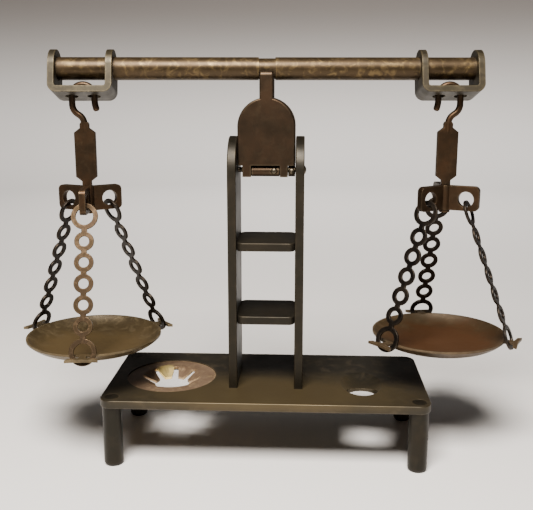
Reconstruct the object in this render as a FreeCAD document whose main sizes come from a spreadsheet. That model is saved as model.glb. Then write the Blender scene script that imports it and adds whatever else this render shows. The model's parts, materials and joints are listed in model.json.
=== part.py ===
import FreeCAD, Part
import math
import os
import Sketcher

# Equal-arm brass balance on a ladder column.  Millimetres, +Z up, origin on the table at the middle
# of the overall footprint.  The pans hang a little in front of the column, so the column stands a
# little behind the origin.  +X runs along the beam to the right-hand pan, -Y is the front.

doc = FreeCAD.newDocument("BrassBalance")

# ---------------------------------------------------------------- driving dimensions
sheet = doc.addObject("Spreadsheet::Sheet", "Sizes")
SIZES = {
    # base plate and legs
    "plate_length": 156, "plate_width": 70, "plate_thick": 4, "plate_corner": 6, "plate_edge": 0.5,
    "plate_under": 30, "column_y": 2.976, "leg_radius": 4.6, "leg_round": 1.8, "leg_x": 72.6,
    "leg_y": 29.3, "rivet_radius": 3.4, "fit_gap": 0.02,
    # toothed seat ring in the left opening, dished hole on the right
    "ring_x": 48.5, "ring_radius": 22.3, "ring_thick": 1.2, "ring_sink": 0.4, "seat_radius": 18.5,
    "tooth_bend": 15.2, "tooth_tip": 8.6, "tooth_drop": 3.6, "tooth_count": 8,
    "slot_circle": 13.4, "slot_hole": 1.3, "slot_root": 1.1, "slot_mouth": 1.8, "slot_over": 1,
    "hole_x": 47, "hole_y": -14.5, "hole_radius": 7.5,
    "dish_y": -7.2, "dish_lift": 10, "dish_high": 12.6, "dish_wide": 17.1, "dish_long": 25.5,
    # ladder column
    "gap_half": 13.8, "upright_thick": 4.1, "column_depth": 32, "hinge_height": 139,
    "foot_tenon": 14, "rung_tenon": 12, "rung_low": 66.2, "rung_high": 102, "rung_thick": 4,
    "rung_depth": 31, "rung_corner": 3, "edge_round": 0.5,
    # hinged head: two leaves on one pin
    "leaf_width": 27, "leaf_thick": 4, "leaf_inside": 4.9, "leaf_bottom": 141.75, "arch_height": 159.5,
    "neck_width": 6.4, "neck_top": 185, "neck_round": 2.2, "leaf_round": 0.9, "knuckle_radius": 2.6,
    "knuckle_lap": 1, "nose_reach": 5.4, "front_eye_left": -11.2, "front_eye_left_long": 4,
    "front_eye_right": 6.4, "front_eye_right_long": 3.6, "rear_eye_middle": -6.1,
    "rear_eye_middle_long": 13, "rear_eye_end": -13.4, "rear_eye_end_long": 3.1,
    "pin_radius": 1.25, "pin_head": 2.2, "pin_dome": 0.9, "running_gap": 0.05,
    "screw_a": 3.6, "screw_b": 11.9, "screw_head": 1.6, "screw_dome": 0.9, "screw_shank": 0.7,
    "screw_seat": 7.45,
    # beam and its pivot
    "beam_length": 200, "beam_radius": 5.25, "beam_height": 186, "beam_chamfer": 0.4,
    "beam_skew": 4, "groove_half": 3.9, "groove_radius": 4.75, "pivot_drop": 2.9, "pivot_radius": 1,
    "pivot_cover": 1.2,
    # stirrups on the beam ends
    "hang_x": 85.4, "stirrup_length": 29.1, "stirrup_width": 17.4, "strap_thick": 3, "web_bottom": 173,
    "bend_outside": 4, "bend_inside": 1, "ear_flat": 0.05, "stirrup_gap": 0.08, "web_hole": 3,
    "web_hole_x": 5.1, "stirrup_lean": 15, "hang_lift": 0.5,
    # hook and blade
    "wire_radius": 1.5, "hook_bend": 5.2, "hook_height": 173.15, "shank_bottom": 160.2,
    "shank_top": 169.2, "tail_start": 171.2, "tail_bend": 12, "tail_lean": 14, "tail_end": 2.2,
    "tip_flat": 0.3, "neck_taper": 1, "blade_round": 0.5, "blade_clear": 0.1, "tang_lap": 1,
    "blade_thick": 2.6, "blade_half": 4.95, "blade_neck": 2.2, "blade_top": 156.4, "blade_low": 135.7,
    "blade_shoulder": 2.1, "tang_radius": 1.42, "tang_head": 2.6, "tang_head_thick": 1, "tang_gap": 0.15,
    # three-armed hanger
    "hanger_bottom": 119.5, "hanger_height": 11.8, "arm_length": 16.6, "arm_thick": 2.9,
    "arm_corner": 2.4, "arm_hole": 3.7, "arm_hole_out": 10.4, "arm_hole_up": 5.5, "hub_radius": 2.9,
    "front_angle": -88, "arm_count": 3,
    # stamped ring strips
    "strip_thick": 1.2, "big_outside": 6.2, "big_inside": 4, "small_outside": 4.5, "small_inside": 2.35,
    "ring_pitch": 9.8, "end_pitch": 11.7, "small_count": 5, "strip_neck": 2.6, "strip_out": 12.05,
    "strip_height": 118.55, "strip_tilt": 20.4, "strip_twist": 12,
    # pans
    "pan_radius": 32.6, "pan_rim": 1, "pan_depth": 5.4, "pan_floor": 22, "pan_wall": 4.6,
    "pan_bend": 14.6, "pan_thick": 1.3, "pan_edge": 0.9, "pan_height": 58.1, "lug_neck": 1.6,
    "lug_root": 31.2, "lug_step": 36.5, "lug_shoulder": 37.2, "lug_tip": 39.2, "lug_notch": 38.6,
    "lug_half": 7.5, "lug_half_inner": 6.4,
}
for row, (name, number) in enumerate(SIZES.items(), start=1):
    sheet.set("A%d" % row, name)
    sheet.set("B%d" % row, str(number))
    sheet.setAlias("B%d" % row, name)
doc.recompute()


def size(name):
    """A driving dimension, read from the sheet."""
    return float(sheet.get(name))


def formula(words):
    """Turn a sum written with the sheet's names into an expression on the sheet."""
    text = words
    for name in sorted(SIZES, key=len, reverse=True):
        text = text.replace(name, "@" + str(list(SIZES).index(name)) + "@")
    for index, name in enumerate(SIZES):
        text = text.replace("@%d@" % index, "Sizes." + name)
    return text


# ---------------------------------------------------------------- shared building steps
def new_body(label):
    body = doc.addObject("PartDesign::Body", label)
    body.Label = label
    return body


def origin(body, role):
    return [item for item in body.Origin.OriginFeatures if item.Role == role][0]


def attach(feature, body, plane, offset="0"):
    """Lay a sketch or primitive on one of its body's own origin planes, offset along its normal."""
    feature.AttachmentSupport = (origin(body, plane), [""])
    feature.MapMode = "FlatFace"
    feature.setExpression("AttachmentOffset.Base.z", formula(offset))


def new_sketch(body, plane, offset="0"):
    sketch = body.newObject("Sketcher::SketchObject", "Sketch")
    attach(sketch, body, plane, offset)
    return sketch


def hold(sketch, kind, places, words, value):
    """Add one driving constraint bound to the sheet."""
    index = sketch.addConstraint(Sketcher.Constraint(kind, *places, value))
    sketch.setExpression("Constraints[%d]" % index, formula(words))


def draw_chain(sketch, corners, closed=True):
    """Draw edges through the corners.  A corner is (across, up), and (across, up, radius, side)
    where the edge that leaves it is an arc: side is 1 to turn left along the way, -1 to turn right."""
    spots = []
    for corner in corners:
        across = float(sketch.evalExpression(formula(corner[0])))
        up = float(sketch.evalExpression(formula(corner[1])))
        spots.append(FreeCAD.Vector(across, up, 0))
    count = len(corners) if closed else len(corners) - 1
    first = sketch.GeometryCount
    ends = []
    for index in range(count):
        start = spots[index]
        stop = spots[(index + 1) % len(spots)]
        corner = corners[index]
        if len(corner) == 2:
            sketch.addGeometry(Part.LineSegment(start, stop))
            ends.append((1, 2))
            continue
        radius = float(sketch.evalExpression(formula(corner[2])))
        side = corner[3]
        chord = stop - start
        rise = math.sqrt(max(radius ** 2 - (chord.Length / 2) ** 2, 0))
        left = FreeCAD.Vector(-chord.y, chord.x, 0).normalize()
        centre = (start + stop) * 0.5 + left * (rise * side)
        middle = centre - left * (radius * side)
        sketch.addGeometry(Part.Arc(start, middle, stop))
        ends.append((1, 2) if side > 0 else (2, 1))
        arc = first + index
        if rise > 0.001:
            hold(sketch, "Radius", (arc,), corner[2], radius)
        elif abs(chord.x) > abs(chord.y):
            hold(sketch, "DistanceY", (-1, 1, arc, 3), corner[1], start.y)
        else:
            hold(sketch, "DistanceX", (-1, 1, arc, 3), corner[0], start.x)
    for index in range(count):
        geometry = first + index
        begin, finish = ends[index]
        corner = corners[index]
        hold(sketch, "DistanceX", (-1, 1, geometry, begin), corner[0], spots[index].x)
        hold(sketch, "DistanceY", (-1, 1, geometry, begin), corner[1], spots[index].y)
        if closed or index < count - 1:
            follower = (index + 1) % count
            places = (geometry, finish, first + follower, ends[follower][0])
            sketch.addConstraint(Sketcher.Constraint("Coincident", *places))
        else:
            last = corners[-1]
            hold(sketch, "DistanceX", (-1, 1, geometry, finish), last[0], spots[-1].x)
            hold(sketch, "DistanceY", (-1, 1, geometry, finish), last[1], spots[-1].y)


def draw_circle(sketch, across, up, radius):
    x = float(sketch.evalExpression(formula(across)))
    y = float(sketch.evalExpression(formula(up)))
    r = float(sketch.evalExpression(formula(radius)))
    index = sketch.addGeometry(Part.Circle(FreeCAD.Vector(x, y, 0), FreeCAD.Vector(0, 0, 1), r))
    hold(sketch, "Radius", (index,), radius, r)
    hold(sketch, "DistanceX", (-1, 1, index, 3), across, x)
    hold(sketch, "DistanceY", (-1, 1, index, 3), up, y)


def mirrored(half):
    """Close a half outline of straight edges about the vertical axis."""
    other = [("-(" + across + ")", up) for across, up in reversed(half)]
    return half + other


def add_pad(body, sketch, length, middle=False, back=False):
    pad = body.newObject("PartDesign::Pad", "Pad")
    pad.Profile = sketch
    pad.setExpression("Length", formula(length))
    pad.Reversed = back
    if middle:
        pad.SideType = "Symmetric"
    doc.recompute()
    return pad


def cut_pocket(body, sketch, depth, middle=False, back=False):
    """Cut a pocket and make sure that it took something away."""
    before = body.Shape.Volume
    pocket = body.newObject("PartDesign::Pocket", "Pocket")
    pocket.Profile = sketch
    pocket.setExpression("Length", formula(depth))
    pocket.Reversed = back
    if middle:
        pocket.SideType = "Symmetric"
    doc.recompute()
    if body.Shape.Volume > before - 1e-6:
        raise RuntimeError(body.Label + ": the pocket cuts nothing")
    return pocket


def add_turned(body, corners, axis):
    """Turn a half outline on the front plane round one of the body's axes."""
    sketch = new_sketch(body, "XZ_Plane")
    draw_chain(sketch, corners)
    turned = body.newObject("PartDesign::Revolution", "Revolution")
    turned.Profile = sketch
    turned.ReferenceAxis = (origin(body, axis), [""])
    turned.Angle = 360
    doc.recompute()
    return turned


def repeat_round(body, feature, count):
    pattern = body.newObject("PartDesign::PolarPattern", "PolarPattern")
    pattern.Originals = [feature]
    pattern.Axis = (origin(body, "Z_Axis"), [""])
    pattern.Angle = 360
    pattern.setExpression("Occurrences", formula(count))
    body.Tip = pattern
    doc.recompute()
    return pattern


def repeat_down(body, feature, count, pitch):
    pattern = body.newObject("PartDesign::LinearPattern", "LinearPattern")
    pattern.Originals = [feature]
    pattern.Direction = (origin(body, "Z_Axis"), [""])
    pattern.Reversed = True
    pattern.setExpression("Length", formula("(%s - 1) * %s" % (count, pitch)))
    pattern.setExpression("Occurrences", formula(count))
    body.Tip = pattern
    doc.recompute()
    return pattern


def round_edges(body, radius, wanted, kind="PartDesign::Fillet"):
    """Round (or chamfer) the edges of the body's last feature whose middle point is wanted."""
    base = body.Tip
    names = []
    for number, edge in enumerate(base.Shape.Edges, start=1):
        middle = edge.valueAt((edge.FirstParameter + edge.LastParameter) / 2)
        if wanted(middle, edge):
            names.append("Edge%d" % number)
    if not names:
        raise RuntimeError(body.Label + ": no edge to round")
    rounding = body.newObject(kind, "Rounding")
    rounding.Base = (base, names)
    rounding.setExpression("Radius" if kind.endswith("Fillet") else "Size", formula(radius))
    doc.recompute()
    return rounding


UPRIGHT = FreeCAD.Vector(0, 0, 1)
TOUCH = 0.01


def place(body, base=("0", "0", "0"), turn=0):
    """Place a body from the column's foot by sums on the sheet, turned about its own vertical axis."""
    body.Placement.Rotation = FreeCAD.Rotation(UPRIGHT, turn)
    for axis, start, words in zip("xyz", ("0", "column_y", "0"), base):
        body.setExpression("Placement.Base." + axis, formula(start + " + " + words))


def place_skewed(body, base, rotation):
    """Place a body from the column's foot, with the beam's skew about the column added."""
    along, across, up = base
    cosine = "cos(beam_skew * 1 deg)"
    sine = "sin(beam_skew * 1 deg)"
    place(body, ("(%s) * %s - (%s) * %s" % (along, cosine, across, sine),
                 "(%s) * %s + (%s) * %s" % (along, sine, across, cosine), up))
    body.Placement.Rotation = FreeCAD.Rotation(UPRIGHT, size("beam_skew")).multiply(rotation)


nodes = []


def keep(body):
    nodes.append(body)
    return body


# ---------------------------------------------------------------- base plate
# A flat plate with softened corners.  Its left opening is counterbored for the seat ring, its right
# one is a plain hole at the front of a shallow dish.  Slots and holes take the riveted tenons.
plate = new_body("base_plate")
outline = new_sketch(plate, "XY_Plane", "plate_under")
draw_chain(outline, [("-plate_length/2", "-plate_width/2"), ("plate_length/2", "-plate_width/2"),
                     ("plate_length/2", "plate_width/2"), ("-plate_length/2", "plate_width/2")])
add_pad(plate, outline, "plate_thick")
round_edges(plate, "plate_corner", lambda spot, edge: abs(abs(spot.x) - size("plate_length") / 2) < TOUCH
            and abs(abs(spot.y) - size("plate_width") / 2) < TOUCH)
round_edges(plate, "plate_edge", lambda spot, edge: True)

holes = new_sketch(plate, "XY_Plane", "plate_under + plate_thick")
for side_x in ("-leg_x", "leg_x"):
    for side_y in ("-leg_y", "leg_y"):
        draw_circle(holes, side_x, side_y, "rivet_radius + fit_gap")
draw_circle(holes, "-ring_x", "0", "seat_radius")
draw_circle(holes, "hole_x", "hole_y", "hole_radius")
for side in ("-", ""):
    near = side + "(gap_half - fit_gap)"
    far = side + "(gap_half + upright_thick + fit_gap)"
    deep = "(foot_tenon/2 + fit_gap)"
    draw_chain(holes, [(near, "-" + deep), (far, "-" + deep), (far, deep), (near, deep)])
cut_pocket(plate, holes, "plate_thick")

seat = new_sketch(plate, "XY_Plane", "plate_under + plate_thick")
draw_circle(seat, "-ring_x", "0", "ring_radius + fit_gap")
cut_pocket(plate, seat, "ring_thick + ring_sink")

dish = plate.newObject("PartDesign::SubtractiveEllipsoid", "Dish")
attach(dish, plate, "XY_Plane", "plate_under + plate_thick + dish_lift")
dish.setExpression("AttachmentOffset.Base.x", formula("hole_x"))
dish.setExpression("AttachmentOffset.Base.y", formula("dish_y"))
dish.setExpression("Radius1", formula("dish_high"))
dish.setExpression("Radius2", formula("dish_wide"))
dish.setExpression("Radius3", formula("dish_long"))
doc.recompute()
place(plate)
keep(plate)

# ---------------------------------------------------------------- legs
# Turned pegs with rounded feet; each one's shouldered tenon is riveted flush through the plate.
leg_places = (("leg_front_left", "-leg_x", "-leg_y"), ("leg_front_right", "leg_x", "-leg_y"),
              ("leg_rear_left", "-leg_x", "leg_y"), ("leg_rear_right", "leg_x", "leg_y"))
for label, side_x, side_y in leg_places:
    leg = new_body(label)
    add_turned(leg, [("0", "0"), ("leg_radius - leg_round", "0", "leg_round", 1), ("leg_radius", "leg_round"),
                     ("leg_radius", "plate_under"), ("rivet_radius", "plate_under"),
                     ("rivet_radius", "plate_under + plate_thick"), ("0", "plate_under + plate_thick")],
               "Z_Axis")
    place(leg, (side_x, side_y, "0"))
    keep(leg)

# ---------------------------------------------------------------- toothed seat ring
# A flat flange whose inner edge is bent down into teeth; each slot between two teeth starts in a
# drilled hole and opens towards the middle.
ring = new_body("toothed_ring")
top = "plate_under + plate_thick - ring_sink"
add_turned(ring, [("tooth_tip", top + " - tooth_drop - ring_thick"), ("tooth_bend", top + " - ring_thick"),
                  ("ring_radius", top + " - ring_thick"), ("ring_radius", top), ("tooth_bend", top),
                  ("tooth_tip", top + " - tooth_drop")], "Z_Axis")
slot = new_sketch(ring, "XY_Plane", "plate_under + plate_thick")
draw_chain(slot, [("-slot_mouth", "tooth_tip - slot_over"), ("slot_mouth", "tooth_tip - slot_over"),
                  ("slot_root", "slot_circle"), ("-slot_root", "slot_circle")])
one_slot = cut_pocket(ring, slot, "plate_thick + tooth_drop")
repeat_round(ring, one_slot, "tooth_count")
drill = new_sketch(ring, "XY_Plane", "plate_under + plate_thick")
draw_circle(drill, "0", "slot_circle", "slot_hole")
one_hole = cut_pocket(ring, drill, "plate_thick + tooth_drop")
repeat_round(ring, one_hole, "tooth_count")
place(ring, ("-ring_x", "0", "0"))
keep(ring)

# ---------------------------------------------------------------- ladder column
# Flat bars on edge with full-round tops about the hinge pin, tenoned into the plate, and two flat
# rungs tenoned through them.
for label, start in (("upright_left", "-gap_half - upright_thick"), ("upright_right", "gap_half")):
    upright = new_body(label)
    side = new_sketch(upright, "YZ_Plane")
    foot = "plate_under + plate_thick"
    draw_chain(side, [("-foot_tenon/2", "plate_under"), ("foot_tenon/2", "plate_under"),
                      ("foot_tenon/2", foot), ("column_depth/2", foot),
                      ("column_depth/2", "hinge_height", "column_depth/2", 1),
                      ("-column_depth/2", "hinge_height"), ("-column_depth/2", foot),
                      ("-foot_tenon/2", foot)])
    add_pad(upright, side, "upright_thick")
    openings = new_sketch(upright, "YZ_Plane")
    draw_circle(openings, "0", "hinge_height", "pin_radius + fit_gap")
    for rung in ("rung_low", "rung_high"):
        wide = "(rung_tenon/2 + fit_gap)"
        under = rung + " - fit_gap"
        over = rung + " + rung_thick + fit_gap"
        draw_chain(openings, [("-" + wide, under), (wide, under), (wide, over), ("-" + wide, over)])
    cut_pocket(upright, openings, "upright_thick", back=True)
    half_depth = size("column_depth") / 2
    floor = size("plate_under") + size("plate_thick")
    round_edges(upright, "edge_round", lambda spot, edge: edge.Length > 2 * half_depth
                and spot.z > floor + size("edge_round"))
    place(upright, (start, "0", "0"))
    keep(upright)

for label, height in (("rung_lower", "rung_low"), ("rung_upper", "rung_high")):
    rung = new_body(label)
    shape = new_sketch(rung, "XY_Plane")
    inner = "gap_half - rung_corner"
    shoulder = "rung_depth/2 - rung_corner"
    tenon = "gap_half + upright_thick"
    draw_chain(shape, [("-(" + inner + ")", "-rung_depth/2"), (inner, "-rung_depth/2", "rung_corner", 1),
                       ("gap_half", "-(" + shoulder + ")"), ("gap_half", "-rung_tenon/2"),
                       (tenon, "-rung_tenon/2"), (tenon, "rung_tenon/2"), ("gap_half", "rung_tenon/2"),
                       ("gap_half", shoulder, "rung_corner", 1), (inner, "rung_depth/2"),
                       ("-(" + inner + ")", "rung_depth/2", "rung_corner", 1), ("-gap_half", shoulder),
                       ("-gap_half", "rung_tenon/2"), ("-(" + tenon + ")", "rung_tenon/2"),
                       ("-(" + tenon + ")", "-rung_tenon/2"), ("-gap_half", "-rung_tenon/2"),
                       ("-gap_half", "-(" + shoulder + ")", "rung_corner", 1)])
    add_pad(rung, shape, "rung_thick")
    limit = size("rung_depth") / 2 - size("rung_corner")
    round_edges(rung, "edge_round", lambda spot, edge: abs(spot.y) > limit
                and abs(spot.x) < size("gap_half") and edge.Length > size("rung_corner"))
    place(rung, ("0", "0", height))
    keep(rung)

# ---------------------------------------------------------------- hinge pin
# A plain pin across both uprights, peened to a low dome at each end.
hinge = new_body("hinge_pin")
reach = "gap_half + upright_thick"
dome = "(pin_head^2 + pin_dome^2) / (2 * pin_dome)"
add_turned(hinge, [("-(" + reach + " + pin_dome)", "0"), (reach + " + pin_dome", "0", dome, 1),
                   (reach, "pin_head"), (reach, "pin_radius"), ("-(" + reach + ")", "pin_radius"),
                   ("-(" + reach + ")", "pin_head", dome, 1)], "X_Axis")
place(hinge, ("0", "0", "hinge_height"))
keep(hinge)


# ---------------------------------------------------------------- head leaves
# Two bottle-shaped leaves stand back to back on the hinge pin.  Their knuckles interleave, and their
# necks stand in front of and behind the groove in the beam, with the pivot pin across them.
def make_leaf(label, knuckles, nose, turn):
    leaf = new_body(label)
    face = new_sketch(leaf, "XZ_Plane", "leaf_inside")
    root = "arch_height + sqrt((leaf_width/2)^2 - (neck_width/2)^2)"
    draw_chain(face, [("-leaf_width/2", "leaf_bottom"), ("leaf_width/2", "leaf_bottom"),
                      ("leaf_width/2", "arch_height", "leaf_width/2", 1), ("neck_width/2", root),
                      ("neck_width/2", "neck_top"), ("-neck_width/2", "neck_top"),
                      ("-neck_width/2", root, "leaf_width/2", 1), ("-leaf_width/2", "arch_height")])
    add_pad(leaf, face, "leaf_thick")
    outside = -size("leaf_inside") - size("leaf_thick")
    round_edges(leaf, "neck_round", lambda spot, edge: abs(spot.y - outside) < TOUCH
                and spot.z > size("neck_top") - TOUCH)
    round_edges(leaf, "leaf_round", lambda spot, edge: abs(spot.y - outside) < TOUCH
                and spot.z > size("leaf_bottom") + size("leaf_round"))
    bottom = "hinge_height - knuckle_radius"
    crown = "hinge_height + knuckle_radius"
    front = "-(leaf_inside + leaf_thick)"
    for start, length in knuckles:
        eye = new_sketch(leaf, "YZ_Plane", start)
        draw_chain(eye, [(front, bottom), (nose, bottom, "knuckle_radius", 1), (nose, crown),
                         ("-leaf_inside", crown), ("-leaf_inside", "leaf_bottom + knuckle_lap"),
                         (front, "leaf_bottom + knuckle_lap")])
        add_pad(leaf, eye, length)
    bore = new_sketch(leaf, "YZ_Plane")
    draw_circle(bore, "0", "hinge_height", "pin_radius + running_gap")
    cut_pocket(leaf, bore, "2 * leaf_width", middle=True)
    place(leaf, turn=turn)
    return leaf


front_eyes = (("front_eye_left", "front_eye_left_long"), ("front_eye_right", "front_eye_right_long"))
front_leaf = make_leaf("front_leaf", front_eyes, "0", 0)
blind = new_sketch(front_leaf, "XZ_Plane", "leaf_inside")
draw_circle(blind, "0", "beam_height - pivot_drop", "pivot_radius + fit_gap")
cut_pocket(front_leaf, blind, "leaf_thick - pivot_cover", back=True)
keep(front_leaf)

rear_eyes = (("rear_eye_middle", "rear_eye_middle_long"), ("rear_eye_end", "rear_eye_end_long"))
rear_leaf = make_leaf("rear_leaf", rear_eyes, "nose_reach", 180)
through = new_sketch(rear_leaf, "XZ_Plane", "leaf_inside")
draw_circle(through, "0", "beam_height - pivot_drop", "pivot_radius + fit_gap")
cut_pocket(rear_leaf, through, "leaf_thick", back=True)
# spot faces and threads for the lock screws, in the noses of the rear leaf's knuckles
spots = new_sketch(rear_leaf, "XZ_Plane", "-screw_seat")
threads = new_sketch(rear_leaf, "XZ_Plane", "-screw_seat")
for across in ("-screw_a", "-screw_b"):
    draw_circle(spots, across, "hinge_height", "screw_head + fit_gap")
    draw_circle(threads, across, "hinge_height", "screw_shank + fit_gap")
cut_pocket(rear_leaf, spots, "knuckle_radius")
cut_pocket(rear_leaf, threads, "screw_seat - pin_radius", back=True)
keep(rear_leaf)

# lock screws: a short shank that bears on the pin under a domed head
screws = []
for label, across in (("screw_left", "screw_a"), ("screw_right", "screw_b")):
    shank = doc.addObject("Part::Cylinder", label + "_shank")
    shank.setExpression("Radius", formula("screw_shank"))
    shank.setExpression("Height", formula("screw_seat - pin_radius - running_gap"))
    head = doc.addObject("Part::Cylinder", label + "_head")
    head.setExpression("Radius", formula("screw_head"))
    head.setExpression("Height", formula("knuckle_radius"))
    ball = doc.addObject("Part::Sphere", label + "_ball")
    ball.setExpression("Radius", formula("(screw_head^2 + screw_dome^2) / (2 * screw_dome)"))
    toward_front = FreeCAD.Rotation(FreeCAD.Vector(1, 0, 0), 90)
    for piece, start in ((shank, "-pin_radius - running_gap"), (head, "-screw_seat"),
                         (ball, "-screw_seat + (screw_head^2 - screw_dome^2) / (2 * screw_dome)")):
        piece.Placement.Rotation = toward_front
        piece.setExpression("Placement.Base.x", formula(across))
        piece.setExpression("Placement.Base.y", formula(start))
        piece.setExpression("Placement.Base.z", formula("hinge_height"))
    capped = doc.addObject("Part::Common", label + "_cap")
    capped.Base = head
    capped.Tool = ball
    screw = doc.addObject("Part::Fuse", label)
    screw.Base = capped
    screw.Tool = shank
    screws.append(screw)
lock_screws = doc.addObject("Part::Compound", "lock_screws")
lock_screws.Links = screws
lock_screws.Label = "lock_screws"
lock_screws.setExpression("Placement.Base.y", formula("column_y"))
keep(lock_screws)

# pivot pin: blind in the front neck, filed flush with the back of the rear one
pivot = doc.addObject("Part::Cylinder", "pivot_pin")
pivot.Label = "pivot_pin"
pivot.Placement.Rotation = FreeCAD.Rotation(FreeCAD.Vector(1, 0, 0), 90)
pivot.setExpression("Radius", formula("pivot_radius"))
pivot.setExpression("Height", formula("2 * (leaf_inside + leaf_thick) - pivot_cover - fit_gap"))
pivot.setExpression("Placement.Base.y", formula("column_y + leaf_inside + leaf_thick"))
pivot.setExpression("Placement.Base.z", formula("beam_height - pivot_drop"))
keep(pivot)

# ---------------------------------------------------------------- beam
# A round rod with a shallow groove at its middle for the necks, bored across a little below its axis.
# The bore is a few degrees out of square, so the beam stands askew with its left end forward.
beam = new_body("beam_rod")
end = "beam_length/2"
add_turned(beam, [("-" + end, "0"), (end, "0"), (end, "beam_radius - beam_chamfer"),
                  (end + " - beam_chamfer", "beam_radius"), ("groove_half", "beam_radius"),
                  ("groove_half", "groove_radius"), ("-groove_half", "groove_radius"),
                  ("-groove_half", "beam_radius"), ("-(" + end + " - beam_chamfer)", "beam_radius"),
                  ("-" + end, "beam_radius - beam_chamfer")], "X_Axis")
cross = new_sketch(beam, "XZ_Plane")
turned_back = FreeCAD.Rotation(FreeCAD.Vector(0, 1, 0), -size("beam_skew"))
cross.AttachmentOffset = FreeCAD.Placement(FreeCAD.Vector(), turned_back)
draw_circle(cross, "0", "-pivot_drop", "pivot_radius + running_gap")
cut_pocket(beam, cross, "3 * beam_radius", middle=True)
place_skewed(beam, ("0", "0", "beam_height"), FreeCAD.Rotation())
keep(beam)


# ---------------------------------------------------------------- stirrups
# A strap bent into a U hangs on each end of the rod by two round-topped ears; two holes through its
# web leave a bridge for the hook.
def make_stirrup(label, where, turn):
    stirrup = new_body(label)
    bend = new_sketch(stirrup, "XZ_Plane")
    out = "stirrup_length/2"
    inside = "stirrup_length/2 - strap_thick"
    crown = "beam_height + stirrup_width/2"
    web = "web_bottom + strap_thick"
    draw_chain(bend, [("-(" + out + " - bend_outside)", "web_bottom"),
                      (out + " - bend_outside", "web_bottom", "bend_outside", 1),
                      (out, "web_bottom + bend_outside"), (out, crown), (inside, crown),
                      (inside, web + " + bend_inside", "bend_inside", -1),
                      (inside + " - bend_inside", web),
                      ("-(" + inside + " - bend_inside)", web, "bend_inside", -1),
                      ("-(" + inside + ")", web + " + bend_inside"), ("-(" + inside + ")", crown),
                      ("-(" + out + ")", crown), ("-(" + out + ")", "web_bottom + bend_outside",
                                                  "bend_outside", 1)])
    add_pad(stirrup, bend, "stirrup_width", middle=True)
    top = size("beam_height") + size("stirrup_width") / 2
    round_edges(stirrup, "stirrup_width/2 - ear_flat", lambda spot, edge: abs(spot.z - top) < TOUCH
                and abs(spot.y) > size("stirrup_width") / 2 - TOUCH)
    rod_hole = new_sketch(stirrup, "YZ_Plane")
    draw_circle(rod_hole, "0", "beam_height", "beam_radius + stirrup_gap")
    cut_pocket(stirrup, rod_hole, "2 * stirrup_length", middle=True)
    hook_holes = new_sketch(stirrup, "XY_Plane", "beam_height")
    draw_circle(hook_holes, "-web_hole_x", "0", "web_hole")
    draw_circle(hook_holes, "web_hole_x", "0", "web_hole")
    cut_pocket(stirrup, hook_holes, "beam_height - web_bottom")
    lean = FreeCAD.Rotation(FreeCAD.Vector(1, 0, 0), -size("stirrup_lean"))
    place_skewed(stirrup, (where, "-beam_height * sin(stirrup_lean * 1 deg)",
                           "beam_height * (1 - cos(stirrup_lean * 1 deg))"),
                 lean.multiply(FreeCAD.Rotation(UPRIGHT, turn)))
    return keep(stirrup)


# Where the leaning webs carry the hooks, in front of the beam's axis.
hang_y = "-(beam_height - web_bottom - strap_thick/2) * sin(stirrup_lean * 1 deg)"


# ---------------------------------------------------------------- hooks
# One rod bent to a hook at the top, hammered flat to a blade below it, and turned down to a tang
# that carries the hanger on a riveted head.
def make_hook(label, where, turn):
    hook = new_body(label)
    start = new_sketch(hook, "XY_Plane", "blade_top")
    draw_circle(start, "0", "0", "wire_radius")
    path = new_sketch(hook, "XZ_Plane")
    sway = "(((shank_top - shank_bottom)^2 + hook_bend^2) / (4 * hook_bend))"
    lean = "(tail_lean * 1 deg)"
    tail_x = "hook_bend + tail_bend * (1 - cos" + lean + ")"
    tail_z = "tail_start - tail_bend * sin" + lean
    draw_chain(path, [("0", "blade_top"), ("0", "shank_bottom", sway, 1),
                      ("-hook_bend/2", "(shank_bottom + shank_top)/2", sway, -1),
                      ("-hook_bend", "shank_top"), ("-hook_bend", "hook_height", "hook_bend", -1),
                      ("hook_bend", "hook_height"), ("hook_bend", "tail_start", "tail_bend", 1),
                      (tail_x, tail_z), (tail_x + " + tail_end * sin" + lean,
                                         tail_z + " - tail_end * cos" + lean)], closed=False)
    pipe = hook.newObject("PartDesign::AdditivePipe", "Wire")
    pipe.Profile = start
    pipe.Spine = path
    pipe.Mode = "Frenet"
    doc.recompute()
    tip_height = size("tail_start") - size("tail_bend") * math.sin(math.radians(size("tail_lean")))
    round_edges(hook, "wire_radius - tip_flat", lambda spot, edge: spot.x > size("hook_bend") / 2
                and spot.z < tip_height - size("tail_end") / 2 and isinstance(edge.Curve, Part.Circle))
    flat = new_sketch(hook, "XZ_Plane")
    half = [("blade_neck", "hanger_bottom + hanger_height + blade_clear"),
            ("blade_neck", "blade_low - blade_shoulder"), ("blade_half", "blade_low"),
            ("blade_half", "blade_top"), ("blade_neck", "blade_top + blade_shoulder"),
            ("blade_neck", "shank_bottom"), ("wire_radius", "shank_bottom + neck_taper")]
    draw_chain(flat, mirrored(half))
    add_pad(hook, flat, "blade_thick", middle=True)
    round_edges(hook, "blade_round", lambda spot, edge: abs(abs(spot.y) - size("blade_thick") / 2) < TOUCH
                and abs(spot.x) > size("blade_neck") - TOUCH and spot.z < size("shank_bottom"))
    rivet_bottom = "hanger_bottom - tang_gap - tang_head_thick"
    tang_length = "hanger_height + tang_gap + tang_head_thick + tang_lap"
    for radius, height in (("tang_radius", tang_length), ("tang_head", "tang_head_thick")):
        tang = hook.newObject("PartDesign::AdditiveCylinder", "Tang")
        attach(tang, hook, "XY_Plane", rivet_bottom)
        tang.setExpression("Radius", formula(radius))
        tang.setExpression("Height", formula(height))
        doc.recompute()
    place_skewed(hook, (where, hang_y, "hang_lift"), FreeCAD.Rotation(UPRIGHT, turn))
    return keep(hook)


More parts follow.
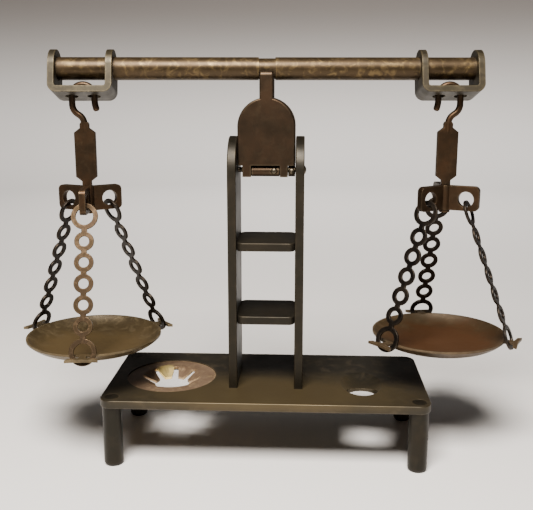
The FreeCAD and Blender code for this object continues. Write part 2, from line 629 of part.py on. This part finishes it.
# ---------------------------------------------------------------- hangers
# Three flat arms on a small hub, each with a round hole near its end for a ring strip.
def make_hanger(label, where, turn):
    hanger = new_body(label)
    arm = new_sketch(hanger, "XZ_Plane")
    low = "hanger_bottom"
    high = "hanger_bottom + hanger_height"
    draw_chain(arm, [("0", low), ("arm_length - arm_corner", low, "arm_corner", 1),
                     ("arm_length", low + " + arm_corner"),
                     ("arm_length", high + " - arm_corner", "arm_corner", 1),
                     ("arm_length - arm_corner", high), ("0", high)])
    draw_circle(arm, "arm_hole_out", low + " + arm_hole_up", "arm_hole")
    one_arm = add_pad(hanger, arm, "arm_thick", middle=True)
    repeat_round(hanger, one_arm, "arm_count")
    hub = new_sketch(hanger, "XY_Plane", low)
    draw_circle(hub, "0", "0", "hub_radius")
    add_pad(hanger, hub, "hanger_height")
    swivel = new_sketch(hanger, "XY_Plane", high)
    draw_circle(swivel, "0", "0", "tang_radius + tang_gap/2")
    cut_pocket(hanger, swivel, "hanger_height")
    place_skewed(hanger, (where, hang_y, "hang_lift"), FreeCAD.Rotation(UPRIGHT, turn))
    return keep(hanger)


# ---------------------------------------------------------------- ring strips
# Stamped from flat brass: a large ring at each end and five small ones between, joined by necks.
# Drawn hanging from the middle of its upper ring, then leaned out and turned to its arm, with the
# slight twist that its loose rings let it take.
def make_strip(label, where, angle, twist):
    strip = new_body(label)
    length = "(2 * end_pitch + (small_count - 1) * ring_pitch)"
    bar = new_sketch(strip, "YZ_Plane")
    half = "strip_neck/2"
    draw_chain(bar, [("-" + half, "-" + length), (half, "-" + length), (half, "0"), ("-" + half, "0")])
    add_pad(strip, bar, "strip_thick", middle=True)
    for centre in ("0", "-" + length):
        big = new_sketch(strip, "YZ_Plane")
        draw_circle(big, "0", centre, "big_outside")
        add_pad(strip, big, "strip_thick", middle=True)
    small = new_sketch(strip, "YZ_Plane")
    draw_circle(small, "0", "-end_pitch", "small_outside")
    one_ring = add_pad(strip, small, "strip_thick", middle=True)
    repeat_down(strip, one_ring, "small_count", "ring_pitch")
    for centre in ("0", "-" + length):
        eye = new_sketch(strip, "YZ_Plane")
        draw_circle(eye, "0", centre, "big_inside")
        cut_pocket(strip, eye, "2 * strip_thick", middle=True)
    small_eye = new_sketch(strip, "YZ_Plane")
    draw_circle(small_eye, "0", "-end_pitch", "small_inside")
    one_eye = cut_pocket(strip, small_eye, "2 * strip_thick", middle=True)
    repeat_down(strip, one_eye, "small_count", "ring_pitch")
    lean = FreeCAD.Rotation(FreeCAD.Vector(0, 1, 0), -size("strip_tilt"))
    turn = FreeCAD.Rotation(UPRIGHT, angle)
    spin = FreeCAD.Rotation(UPRIGHT, twist)
    place_skewed(strip, ("%s + strip_out * cos(%s * 1 deg)" % (where, angle),
                         "%s + strip_out * sin(%s * 1 deg)" % (hang_y, angle), "strip_height + hang_lift"),
                 turn.multiply(lean).multiply(spin))
    return keep(strip)


# ---------------------------------------------------------------- pans
# A shallow dish spun from sheet with three lugs at its rim; each lug's narrow neck lies in a strip's
# lower ring and its flared end keeps it there.
def make_pan(label, where, turn):
    pan = new_body(label)
    crown = "(pan_depth - pan_wall)"
    floor = "((pan_floor^2 + " + crown + "^2) / (2 * " + crown + "))"
    add_turned(pan, [("0", "-(pan_depth + pan_thick)", floor + " + pan_thick", 1),
                     ("pan_floor * (1 + pan_thick / " + floor + ")", "-(pan_wall + pan_thick)",
                      "pan_bend + pan_thick", 1),
                     ("pan_radius", "-pan_edge"), ("pan_radius", "0"),
                     ("pan_radius - pan_rim", "0", "pan_bend", -1), ("pan_floor", "-pan_wall", floor, -1),
                     ("0", "-pan_depth")], "Z_Axis")
    lug = new_sketch(pan, "XY_Plane")
    upper = [("lug_root", "lug_neck"), ("lug_step", "lug_neck"), ("lug_shoulder", "lug_half_inner"),
             ("lug_tip", "lug_half"), ("lug_notch", "0")]
    lower = [(across, "-" + up) for across, up in reversed(upper[:-1])]
    draw_chain(lug, upper + lower)
    one_lug = add_pad(pan, lug, "pan_thick", back=True)
    repeat_round(pan, one_lug, "arm_count")
    place_skewed(pan, (where, hang_y, "pan_height + hang_lift"), FreeCAD.Rotation(UPRIGHT, turn))
    return keep(pan)


# ---------------------------------------------------------------- the two hanging sides
# The right side is the left one turned half round the column.
strip_names = {"left": ("front", "inner", "outer"), "right": ("rear", "inner", "outer")}
for side, where, half_turn in (("left", "-hang_x", 0), ("right", "hang_x", 180)):
    make_stirrup("stirrup_" + side, where, half_turn)
    make_hook("hook_blade_" + side, where, half_turn)
    first_angle = size("front_angle") + half_turn
    make_hanger("hanger_" + side, where, first_angle)
    for step, name in enumerate(strip_names[side]):
        twist = size("strip_twist") if name == "inner" else 0
        make_strip("strip_%s_%s" % (side, name), where, first_angle + 120 * step, twist)
    make_pan("pan_" + side, where, first_angle)

# ---------------------------------------------------------------- check and write
doc.recompute()
for item in doc.Objects:
    if "Invalid" in item.State or "Error" in item.State:
        raise RuntimeError(item.Label + " failed: " + str(item.State))
os.makedirs("parts", exist_ok=True)
for node in nodes:
    shape = node.Shape
    if shape.isNull() or not shape.isValid():
        raise RuntimeError(node.Label + " has no valid shape")
    box = shape.BoundBox
    print("%-22s solids %d  volume %9.1f  z %6.1f to %6.1f" % (node.Label, len(shape.Solids), shape.Volume,
                                                              box.ZMin, box.ZMax))
    shape.exportStep("parts/" + node.Label + ".step")
print(len(nodes), "nodes")
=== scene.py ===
import json
import math

import bmesh
import bpy
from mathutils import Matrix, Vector


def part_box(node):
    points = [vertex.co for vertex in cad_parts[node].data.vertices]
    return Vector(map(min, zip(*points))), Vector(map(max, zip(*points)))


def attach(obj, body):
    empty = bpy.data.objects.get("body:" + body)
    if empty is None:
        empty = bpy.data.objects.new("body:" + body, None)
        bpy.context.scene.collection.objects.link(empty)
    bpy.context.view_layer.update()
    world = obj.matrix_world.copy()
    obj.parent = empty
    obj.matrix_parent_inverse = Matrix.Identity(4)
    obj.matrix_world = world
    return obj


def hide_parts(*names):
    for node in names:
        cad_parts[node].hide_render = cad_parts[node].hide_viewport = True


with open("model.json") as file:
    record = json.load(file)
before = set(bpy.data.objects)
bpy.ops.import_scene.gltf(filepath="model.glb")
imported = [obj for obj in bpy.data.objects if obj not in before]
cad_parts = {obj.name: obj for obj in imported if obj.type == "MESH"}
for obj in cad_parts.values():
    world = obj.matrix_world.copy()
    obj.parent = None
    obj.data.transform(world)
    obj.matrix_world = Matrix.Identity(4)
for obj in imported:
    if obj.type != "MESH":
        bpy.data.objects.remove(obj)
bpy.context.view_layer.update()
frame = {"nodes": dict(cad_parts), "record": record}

# ------------------------------------------------------------------------------------------------
# Table and sweep: a pale satin board that curves up into a plain wall all the way round, so that
# the brass has the same quiet studio to reflect from every side.  The scale stands free on it.
sweep_floor = 1.1
sweep_curve = 0.8
sweep_height = 1.9
curve_steps = 12
sweep_steps = 64

bm = bmesh.new()
corner = [bm.verts.new((0, 0, 0)), bm.verts.new((sweep_floor, 0, 0))]
for step in range(1, curve_steps + 1):
    turn = math.radians(90) * step / curve_steps
    corner.append(bm.verts.new((sweep_floor + sweep_curve * math.sin(turn), 0,
                                sweep_curve * (1 - math.cos(turn)))))
corner.append(bm.verts.new((sweep_floor + sweep_curve, 0, sweep_height)))
profile = [bm.edges.new(pair) for pair in zip(corner, corner[1:])]
bmesh.ops.spin(bm, geom=corner + profile, axis=(0, 0, 1), cent=(0, 0, 0), steps=sweep_steps,
               angle=math.radians(360), use_merge=True)
bmesh.ops.remove_doubles(bm, verts=bm.verts, dist=1e-5)
bmesh.ops.recalc_face_normals(bm, faces=bm.faces)
for face in bm.faces:
    face.smooth = True
sweep_mesh = bpy.data.meshes.new("studio_sweep")
bm.to_mesh(sweep_mesh)
bm.free()
sweep = bpy.data.objects.new("studio_sweep", sweep_mesh)
bpy.context.scene.collection.objects.link(sweep)


def step_in(tree, kind, inputs=None, **settings):
    """Add one shader node, set it up, and join or set its inputs."""
    step = tree.nodes.new(kind)
    for name, value in settings.items():
        setattr(step, name, value)
    for name, value in (inputs or {}).items():
        socket = step.inputs[name]
        if isinstance(value, bpy.types.NodeSocket):
            tree.links.new(value, socket)
        else:
            socket.default_value = value
    return step


# painted shade: the board's colour fades from pale at the floor to dark grey-brown up the wall, in
# place of the light falling off with height
board_near = (0.78, 0.755, 0.73, 1)
board_painted_shade = (0.17, 0.152, 0.138, 1)
fade_height = 0.42
echo_height = 0.05
wall_echo = 0.30

board = bpy.data.materials.new("pale_board")
board.use_nodes = True
tree = board.node_tree
board_shader = tree.nodes["Principled BSDF"]
board_place = step_in(tree, "ShaderNodeTexCoord")
board_height = step_in(tree, "ShaderNodeSeparateXYZ", {"Vector": board_place.outputs["Object"]})
wall_painted_shade = step_in(tree, "ShaderNodeMapRange",
                     {"Value": board_height.outputs["Z"], "From Min": 0.0,
                      "From Max": fade_height, "To Min": 0.0, "To Max": 1.0},
                     interpolation_type="SMOOTHSTEP")
board_colour_with_shade = step_in(tree, "ShaderNodeMix", {"Factor": wall_painted_shade.outputs["Result"],
                                               "A": board_near, "B": board_painted_shade},
                       data_type="RGBA")
# the wall is bright to look at but throws little light back, like the far side of a big dim room
board_sight = step_in(tree, "ShaderNodeLightPath")
board_echo = step_in(tree, "ShaderNodeMapRange",
                     {"Value": board_height.outputs["Z"], "From Min": 0.0,
                      "From Max": echo_height, "To Min": 1.0, "To Max": wall_echo})
board_lit = step_in(tree, "ShaderNodeMath", {0: board_sight.outputs["Is Camera Ray"],
                                             1: board_echo.outputs["Result"]}, operation="MAXIMUM")
board_seen = step_in(tree, "ShaderNodeMix", {"Factor": board_lit.outputs[0], "A": (0, 0, 0, 1),
                                             "B": board_colour_with_shade.outputs["Result"]}, data_type="RGBA")
tree.links.new(board_seen.outputs["Result"], board_shader.inputs["Base Color"])
board_shader.inputs["Roughness"].default_value = 0.38
board_shader.inputs["Specular IOR Level"].default_value = 0.4
sweep_mesh.materials.append(board)

# ------------------------------------------------------------------------------------------------
# Light and camera: one wide soft lamp above and in front, slightly to the left, a second behind
# that lights only the wall, and a dim even air.  The camera stands about level with the beam,
# in front and a touch to the right, and looks slightly down.


def soft_lamp(name, place, aim, size, power, tint):
    """Hang a rectangular lamp at a place, facing a point."""
    lamp = bpy.data.lights.new(name, "AREA")
    lamp.shape = "RECTANGLE"
    lamp.size, lamp.size_y = size
    lamp.energy = power
    lamp.color = tint
    holder = bpy.data.objects.new(name, lamp)
    holder.location = place
    holder.rotation_euler = (Vector(aim) - Vector(place)).to_track_quat("-Z", "Y").to_euler()
    bpy.context.scene.collection.objects.link(holder)


soft_lamp("front_lamp", (-0.06, -0.42, 0.70), (0, 0, 0.1), (0.37, 0.29), 22.0, (1.0, 0.95, 0.89))
soft_lamp("wall_lamp", (0.1, 0.70, 0.9), (0, 1.7, 0.15), (0.9, 0.5), 20.0, (1.0, 0.97, 0.94))

world = bpy.data.worlds.new("studio_air")
world.use_nodes = True
air = world.node_tree.nodes["Background"]
air.inputs["Color"].default_value = (0.72, 0.72, 0.74, 1)
air.inputs["Strength"].default_value = 0.08
bpy.context.scene.world = world

view_place = (0.0176, -0.3721, 0.1774)
view_turn = math.radians(2.73)
view_tip = math.radians(12.06)
camera_data = bpy.data.cameras.new("camera")
camera_data.sensor_width = 36
camera_data.lens = 52.9
camera = bpy.data.objects.new("camera", camera_data)
camera.location = view_place
camera.rotation_euler = (math.radians(90) - view_tip, 0, view_turn)
bpy.context.scene.collection.objects.link(camera)
bpy.context.scene.camera = camera

# ------------------------------------------------------------------------------------------------
# Aged brass: the finish that every piece shares in its own tones.  Brown patina lies in clouds over
# the metal, rubs through to bare brass on outside edges, and holds dirt and painted shade in the
# corners.
grain_scale = 1500.0
nick_scale = 420.0
rubbed_width = 0.0009
dirt_and_shade_width = 0.004
dent_depth = 0.00005
# dark tone for dirt and painted shade in inside corners
dirt_and_shade_tone = (0.018, 0.014, 0.01, 1)

brass = bpy.data.node_groups.new("aged_brass", "ShaderNodeTree")
for name, kind in (("Patina", "NodeSocketColor"), ("Stain", "NodeSocketColor"),
                   ("Bare", "NodeSocketColor"), ("Cloud", "NodeSocketFloat"),
                   ("Show Through", "NodeSocketFloat"), ("Rub", "NodeSocketFloat"),
                   ("Dirt", "NodeSocketFloat"), ("Satin", "NodeSocketFloat")):
    brass.interface.new_socket(name, in_out="INPUT", socket_type=kind)
for name, kind in (("Color", "NodeSocketColor"), ("Roughness", "NodeSocketFloat"),
                   ("Height", "NodeSocketFloat")):
    brass.interface.new_socket(name, in_out="OUTPUT", socket_type=kind)

given = step_in(brass, "NodeGroupInput").outputs
place = step_in(brass, "ShaderNodeTexCoord").outputs["Object"]


def ramp(value, low, high, to_low=0.0, to_high=1.0):
    """Stretch the range from low to high over another, and hold it at both ends."""
    return step_in(brass, "ShaderNodeMapRange",
                   {"Value": value, "From Min": low, "From Max": high,
                    "To Min": to_low, "To Max": to_high}).outputs["Result"]


def product(first, second):
    return step_in(brass, "ShaderNodeMath", {0: first, 1: second}, operation="MULTIPLY").outputs[0]


def total(first, second):
    return step_in(brass, "ShaderNodeMath", {0: first, 1: second}, operation="ADD").outputs[0]


def blend(amount, first, second):
    return step_in(brass, "ShaderNodeMix", {"Factor": amount, "A": first, "B": second},
                   data_type="RGBA").outputs["Result"]


def cloud(scale, detail, distortion=0.0):
    """Soft clouds through the metal, in its own coordinates."""
    return step_in(brass, "ShaderNodeTexNoise",
                   {"Vector": place, "Scale": scale, "Detail": detail, "Roughness": 0.6,
                    "Distortion": distortion}).outputs["Fac"]


wide = cloud(given["Cloud"], 5.0)
patches = cloud(product(given["Cloud"], 3.3), 4.0, distortion=0.8)
grain = cloud(grain_scale, 3.0)
tone = blend(ramp(wide, 0.38, 0.62), given["Patina"], given["Stain"])
thin = product(ramp(patches, 0.5, 0.68), given["Show Through"])
tone = blend(thin, tone, given["Bare"])

# outside edges rub bright, unevenly
inside = step_in(brass, "ShaderNodeAmbientOcclusion", {"Distance": rubbed_width}, samples=6,
                 inside=True)
edge = ramp(inside.outputs["AO"], 0.93, 0.55)
edge = product(product(edge, ramp(patches, 0.35, 0.6, 0.25, 1.0)), given["Rub"])
tone = blend(edge, tone, given["Bare"])

# a few bright nicks
nicks = step_in(brass, "ShaderNodeTexVoronoi", {"Vector": place, "Scale": nick_scale,
                                                "Randomness": 1.0})
nick = product(ramp(nicks.outputs["Distance"], 0.16, 0.08), ramp(patches, 0.6, 0.66))
tone = blend(product(nick, product(given["Show Through"], 3.0)), tone, given["Bare"])

# dirt and painted shade in inside corners: ambient occlusion darkens the colour there
corner_shade = step_in(brass, "ShaderNodeAmbientOcclusion", {"Distance": dirt_and_shade_width}, samples=6)
dirt_and_shade = product(ramp(corner_shade.outputs["AO"], 0.8, 0.3), given["Dirt"])
tone = blend(dirt_and_shade, tone, dirt_and_shade_tone)

dull = total(given["Satin"], ramp(wide, 0.3, 0.7, -0.07, 0.09))
dull = total(dull, product(dirt_and_shade, 0.25))
dull = total(dull, product(edge, -0.12))
height = total(product(patches, 0.5), product(grain, 0.25))
height = total(height, product(nick, -0.4))
step_in(brass, "NodeGroupOutput", {"Color": tone, "Roughness": dull, "Height": height})


def brass_finish(name, patina, stain, bare, cloud_scale, show, rub, satin, dirt_and_shade=0.6, metal=0.9):
    """One piece's own tones of aged brass."""
    finish = bpy.data.materials.new(name)
    finish.use_nodes = True
    tree = finish.node_tree
    shader = tree.nodes["Principled BSDF"]
    aged = step_in(tree, "ShaderNodeGroup", node_tree=brass)
    for label, value in (("Patina", patina + (1,)), ("Stain", stain + (1,)), ("Bare", bare + (1,)),
                         ("Cloud", cloud_scale), ("Show Through", show), ("Rub", rub),
                         ("Dirt", dirt_and_shade), ("Satin", satin)):
        aged.inputs[label].default_value = value
    dented = step_in(tree, "ShaderNodeBump", {"Height": aged.outputs["Height"], "Strength": 0.6,
                                              "Distance": dent_depth})
    tree.links.new(aged.outputs["Color"], shader.inputs["Base Color"])
    tree.links.new(aged.outputs["Roughness"], shader.inputs["Roughness"])
    tree.links.new(dented.outputs["Normal"], shader.inputs["Normal"])
    shader.inputs["Metallic"].default_value = metal
    return finish


nodes = frame["nodes"]
record = frame["record"]
body_of = {name: body for body, names in record["behaviour"]["bodies"].items() for name in names}
flat_turn = math.radians(0.3)
sharp_turn = math.radians(38)


def finished(node, finish, edge):
    """Stand a clean copy of a CAD node in its place, its sharp edges broken by so many mm."""
    bm = bmesh.new()
    bm.from_mesh(nodes[node].data)
    bmesh.ops.remove_doubles(bm, verts=bm.verts, dist=1e-6)
    bmesh.ops.dissolve_limit(bm, angle_limit=flat_turn, use_dissolve_boundaries=False,
                             verts=bm.verts, edges=bm.edges)
    sharp = [line for line in bm.edges if line.calc_face_angle(0) > sharp_turn]
    bmesh.ops.bevel(bm, geom=sharp, offset=edge * 0.001, offset_type="OFFSET", segments=2,
                    profile=0.5, affect="EDGES", clamp_overlap=True, material=-1)
    for face in bm.faces:
        face.smooth = True
    mesh = bpy.data.meshes.new(node + "_finished")
    bm.to_mesh(mesh)
    bm.free()
    mesh.materials.append(finish)
    piece = bpy.data.objects.new(node + "_finished", mesh)
    bpy.context.scene.collection.objects.link(piece)
    evened = piece.modifiers.new("even_shading", "WEIGHTED_NORMAL")
    evened.keep_sharp = False
    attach(piece, body_of[node])
    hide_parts(node)


# ------------------------------------------------------------------------------------------------
# Stand: four turned peg legs riveted through a flat sawn plate, and two flat uprights tenoned into
# it with two rungs between them.  All dark olive-brown brass, worn along its edges; the lighter
# front middle of the plate is a painted highlight.
ragged_edge = 0.9


def patch_of_wear_and_painted_light(finish, centre, reach, tone, softness=0.5, breakup=40.0):
    """Let another tone come through in an uneven oval; it paints rubbed or stained metal on some
    pieces, painted highlight and painted shade on others.
    """
    tree = finish.node_tree
    shader = tree.nodes["Principled BSDF"]
    before = shader.inputs["Base Color"].links[0].from_socket
    spot = step_in(tree, "ShaderNodeTexCoord").outputs["Object"]
    moved = step_in(tree, "ShaderNodeMapping",
                    {"Vector": spot, "Location": [-a / b for a, b in zip(centre, reach)],
                     "Scale": [1 / b for b in reach]})
    off = step_in(tree, "ShaderNodeVectorMath", {0: moved.outputs["Vector"]}, operation="LENGTH")
    ragged = step_in(tree, "ShaderNodeTexNoise", {"Vector": spot, "Scale": breakup, "Detail": 5.0,
                                                  "Roughness": 0.65})
    shifted = step_in(tree, "ShaderNodeMath",
                      {0: ragged.outputs["Fac"], 1: ragged_edge, 2: off.outputs["Value"]},
                      operation="MULTIPLY_ADD")
    rim = 1 + ragged_edge / 2
    wear_and_painted_light_mask = step_in(tree, "ShaderNodeMapRange",
                   {"Value": shifted.outputs[0], "From Min": rim - softness,
                    "From Max": rim + softness, "To Min": 1.0, "To Max": 0.0},
                   interpolation_type="SMOOTHSTEP")
    changed = step_in(tree, "ShaderNodeMix", {"Factor": wear_and_painted_light_mask.outputs["Result"], "A": before,
                                              "B": tone + (1,)}, data_type="RGBA")
    tree.links.new(changed.outputs["Result"], shader.inputs["Base Color"])


plate_finish = brass_finish("plate_brass", (0.0200, 0.0172, 0.0120), (0.0245, 0.0200, 0.0120),
                            (0.17, 0.125, 0.075), cloud_scale=45.0, show=0.16, rub=0.42,
                            satin=0.44, metal=0.6)
plate_low, plate_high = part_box("base_plate")
# painted highlight: a lighter warm oval on the front middle of the plate's top, with a light line
# along its top front edge
patch_of_wear_and_painted_light(plate_finish, (0.002, plate_low[1] + 0.012, plate_high[2]), (0.062, 0.024, 0.0045),
           (0.068, 0.049, 0.0215))
finished("base_plate", plate_finish, edge=0.3)

stand_finish = brass_finish("stand_brass", (0.0098, 0.0080, 0.0042), (0.0140, 0.0104, 0.0050),
                            (0.10, 0.075, 0.040), cloud_scale=45.0, show=0.06, rub=0.28,
                            satin=0.46, metal=0.65)
for name in ("upright_left", "upright_right", "rung_lower", "rung_upper", "leg_front_left",
             "leg_front_right", "leg_rear_left", "leg_rear_right"):
    finished(name, stand_finish, edge=0.3)

# ------------------------------------------------------------------------------------------------
# Toothed ring: warm copper-toned sheet let into the plate's left opening, its inner edge slotted
# and bent down into eight teeth.
ring_finish = brass_finish("ring_brass", (0.31, 0.205, 0.130), (0.215, 0.138, 0.084),
                           (0.64, 0.46, 0.25), cloud_scale=110.0, show=0.4, rub=0.8, satin=0.36,
                           dirt_and_shade=0.8, metal=0.7)
ring_low, ring_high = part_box("toothed_ring")
ring_middle = (ring_low + ring_high) / 2
# painted glint: one tooth at the back is painted bright gold, where the lamp would catch it
patch_of_wear_and_painted_light(ring_finish, (ring_middle[0] - 0.0044, ring_middle[1] + 0.0108, ring_middle[2]),
           (0.0048, 0.0050, 0.008), (1.0, 0.76, 0.28), softness=0.22, breakup=300.0)
# painted shade: darker on the left
patch_of_wear_and_painted_light(ring_finish, (ring_low[0], ring_middle[1] + 0.002, ring_high[2]),
           (0.0095, 0.017, 0.02), (0.125, 0.080, 0.052), softness=0.45, breakup=150.0)
finished("toothed_ring", ring_finish, edge=0.15)

# ------------------------------------------------------------------------------------------------
# Pins and screws: the turned brass pin that hinges the head, peened at both ends, the two domed
# screws that lock it, and the pivot pin pressed through the necks.
pin_finish = brass_finish("pin_brass", (0.04, 0.034, 0.024), (0.03, 0.027, 0.020),
                          (0.22, 0.17, 0.11), cloud_scale=200.0, show=0.4, rub=0.7, satin=0.38)
for name in ("hinge_pin", "lock_screws", "pivot_pin"):
    finished(name, pin_finish, edge=0.12)

# ------------------------------------------------------------------------------------------------
# Head: two bottle-shaped leaves sawn from plate, back to back on the hinge pin with their knuckles
# interleaved.  Dark brown brass with a reddish bloom.
head_finish = brass_finish("head_brass", (0.032, 0.021, 0.0125), (0.040, 0.023, 0.0125),
                           (0.16, 0.125, 0.075), cloud_scale=70.0, show=0.05, rub=0.5, satin=0.46)
for name in ("front_leaf", "rear_leaf"):
    finished(name, head_finish, edge=0.2)

# ------------------------------------------------------------------------------------------------
# Beam: drawn brass rod, turned down in a shallow groove at its middle and bored across for the
# pivot pin.  Golden brown, mottled where handling has thinned the patina.
beam_finish = brass_finish("beam_brass", (0.036, 0.0225, 0.0095), (0.047, 0.029, 0.0125),
                           (0.19, 0.128, 0.052), cloud_scale=90.0, show=0.42, rub=0.6, satin=0.42,
                           metal=0.75)
finished("beam_rod", beam_finish, edge=0.15)

# ------------------------------------------------------------------------------------------------
# Stirrups: brass strap bent to a U, hung on the beam's ends by their round-topped ears and drilled
# twice through the web for the hook.  Khaki-brown with pale rubbed edges.
stirrup_finish = brass_finish("stirrup_brass", (0.029, 0.0225, 0.0110), (0.021, 0.0158, 0.0078),
                              (0.125, 0.098, 0.052), cloud_scale=90.0, show=0.22, rub=0.6,
                              satin=0.46, metal=0.65)
for name in ("stirrup_left", "stirrup_right"):
    finished(name, stirrup_finish, edge=0.3)

# ------------------------------------------------------------------------------------------------
# Hooks and hangers: rod bent to a hook and hammered flat to a blade, whose riveted tang carries a
# three-armed hanger sawn from plate.  Dark brown with a red cast on the blades.
hook_finish = brass_finish("hook_brass", (0.034, 0.0215, 0.0118), (0.048, 0.0255, 0.0125),
                           (0.14, 0.10, 0.058), cloud_scale=85.0, show=0.10, rub=0.4, satin=0.42)
for name in ("hook_blade_left", "hook_blade_right", "hanger_left", "hanger_right"):
    finished(name, hook_finish, edge=0.2)

# ------------------------------------------------------------------------------------------------
# Ring strips: stamped from sheet brass, hung loosely in the hangers' holes by their large upper
# rings.  Most are nearly black; the front one on the left is rubbed to a pinkish tan.
dark_strip = brass_finish("strip_dark", (0.011, 0.009, 0.008), (0.020, 0.015, 0.011),
                          (0.12, 0.09, 0.06), cloud_scale=150.0, show=0.05, rub=0.25, satin=0.42)
tan_strip = brass_finish("strip_tan", (0.056, 0.036, 0.0215), (0.038, 0.0245, 0.0115),
                         (0.15, 0.098, 0.055), cloud_scale=120.0, show=0.5, rub=0.6, satin=0.40)
for name in sorted(nodes):
    if name.startswith("strip_"):
        finished(name, tan_strip if name == "strip_left_front" else dark_strip, edge=0.2)

# ------------------------------------------------------------------------------------------------
# Pans: shallow dishes spun from sheet brass, held in the strips' lower rings by three flared lugs.
# Both are olive-brown at the rim; the left one is paler in the middle and the right one redder.
pan_left_finish = brass_finish("pan_olive", (0.044, 0.031, 0.0140), (0.058, 0.039, 0.0165),
                               (0.20, 0.15, 0.08), cloud_scale=55.0, show=0.30, rub=0.5,
                               satin=0.45, metal=0.5)
pan_right_finish = brass_finish("pan_red", (0.046, 0.031, 0.0150), (0.058, 0.036, 0.0165),
                                (0.16, 0.11, 0.06), cloud_scale=55.0, show=0.22, rub=0.5,
                                satin=0.45, metal=0.5)
for name, finish, tone in (("pan_left", pan_left_finish, (0.088, 0.058, 0.023)),
                           ("pan_right", pan_right_finish, (0.070, 0.030, 0.0108))):
    pan_low, pan_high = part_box(name)
    pan_middle = (pan_low + pan_high) / 2
    patch_of_wear_and_painted_light(finish, (pan_middle[0], pan_middle[1] - 0.004, pan_high[2] - 0.005),
               (0.026, 0.025, 0.02), tone, softness=0.3, breakup=90.0)
    finished(name, finish, edge=0.25)
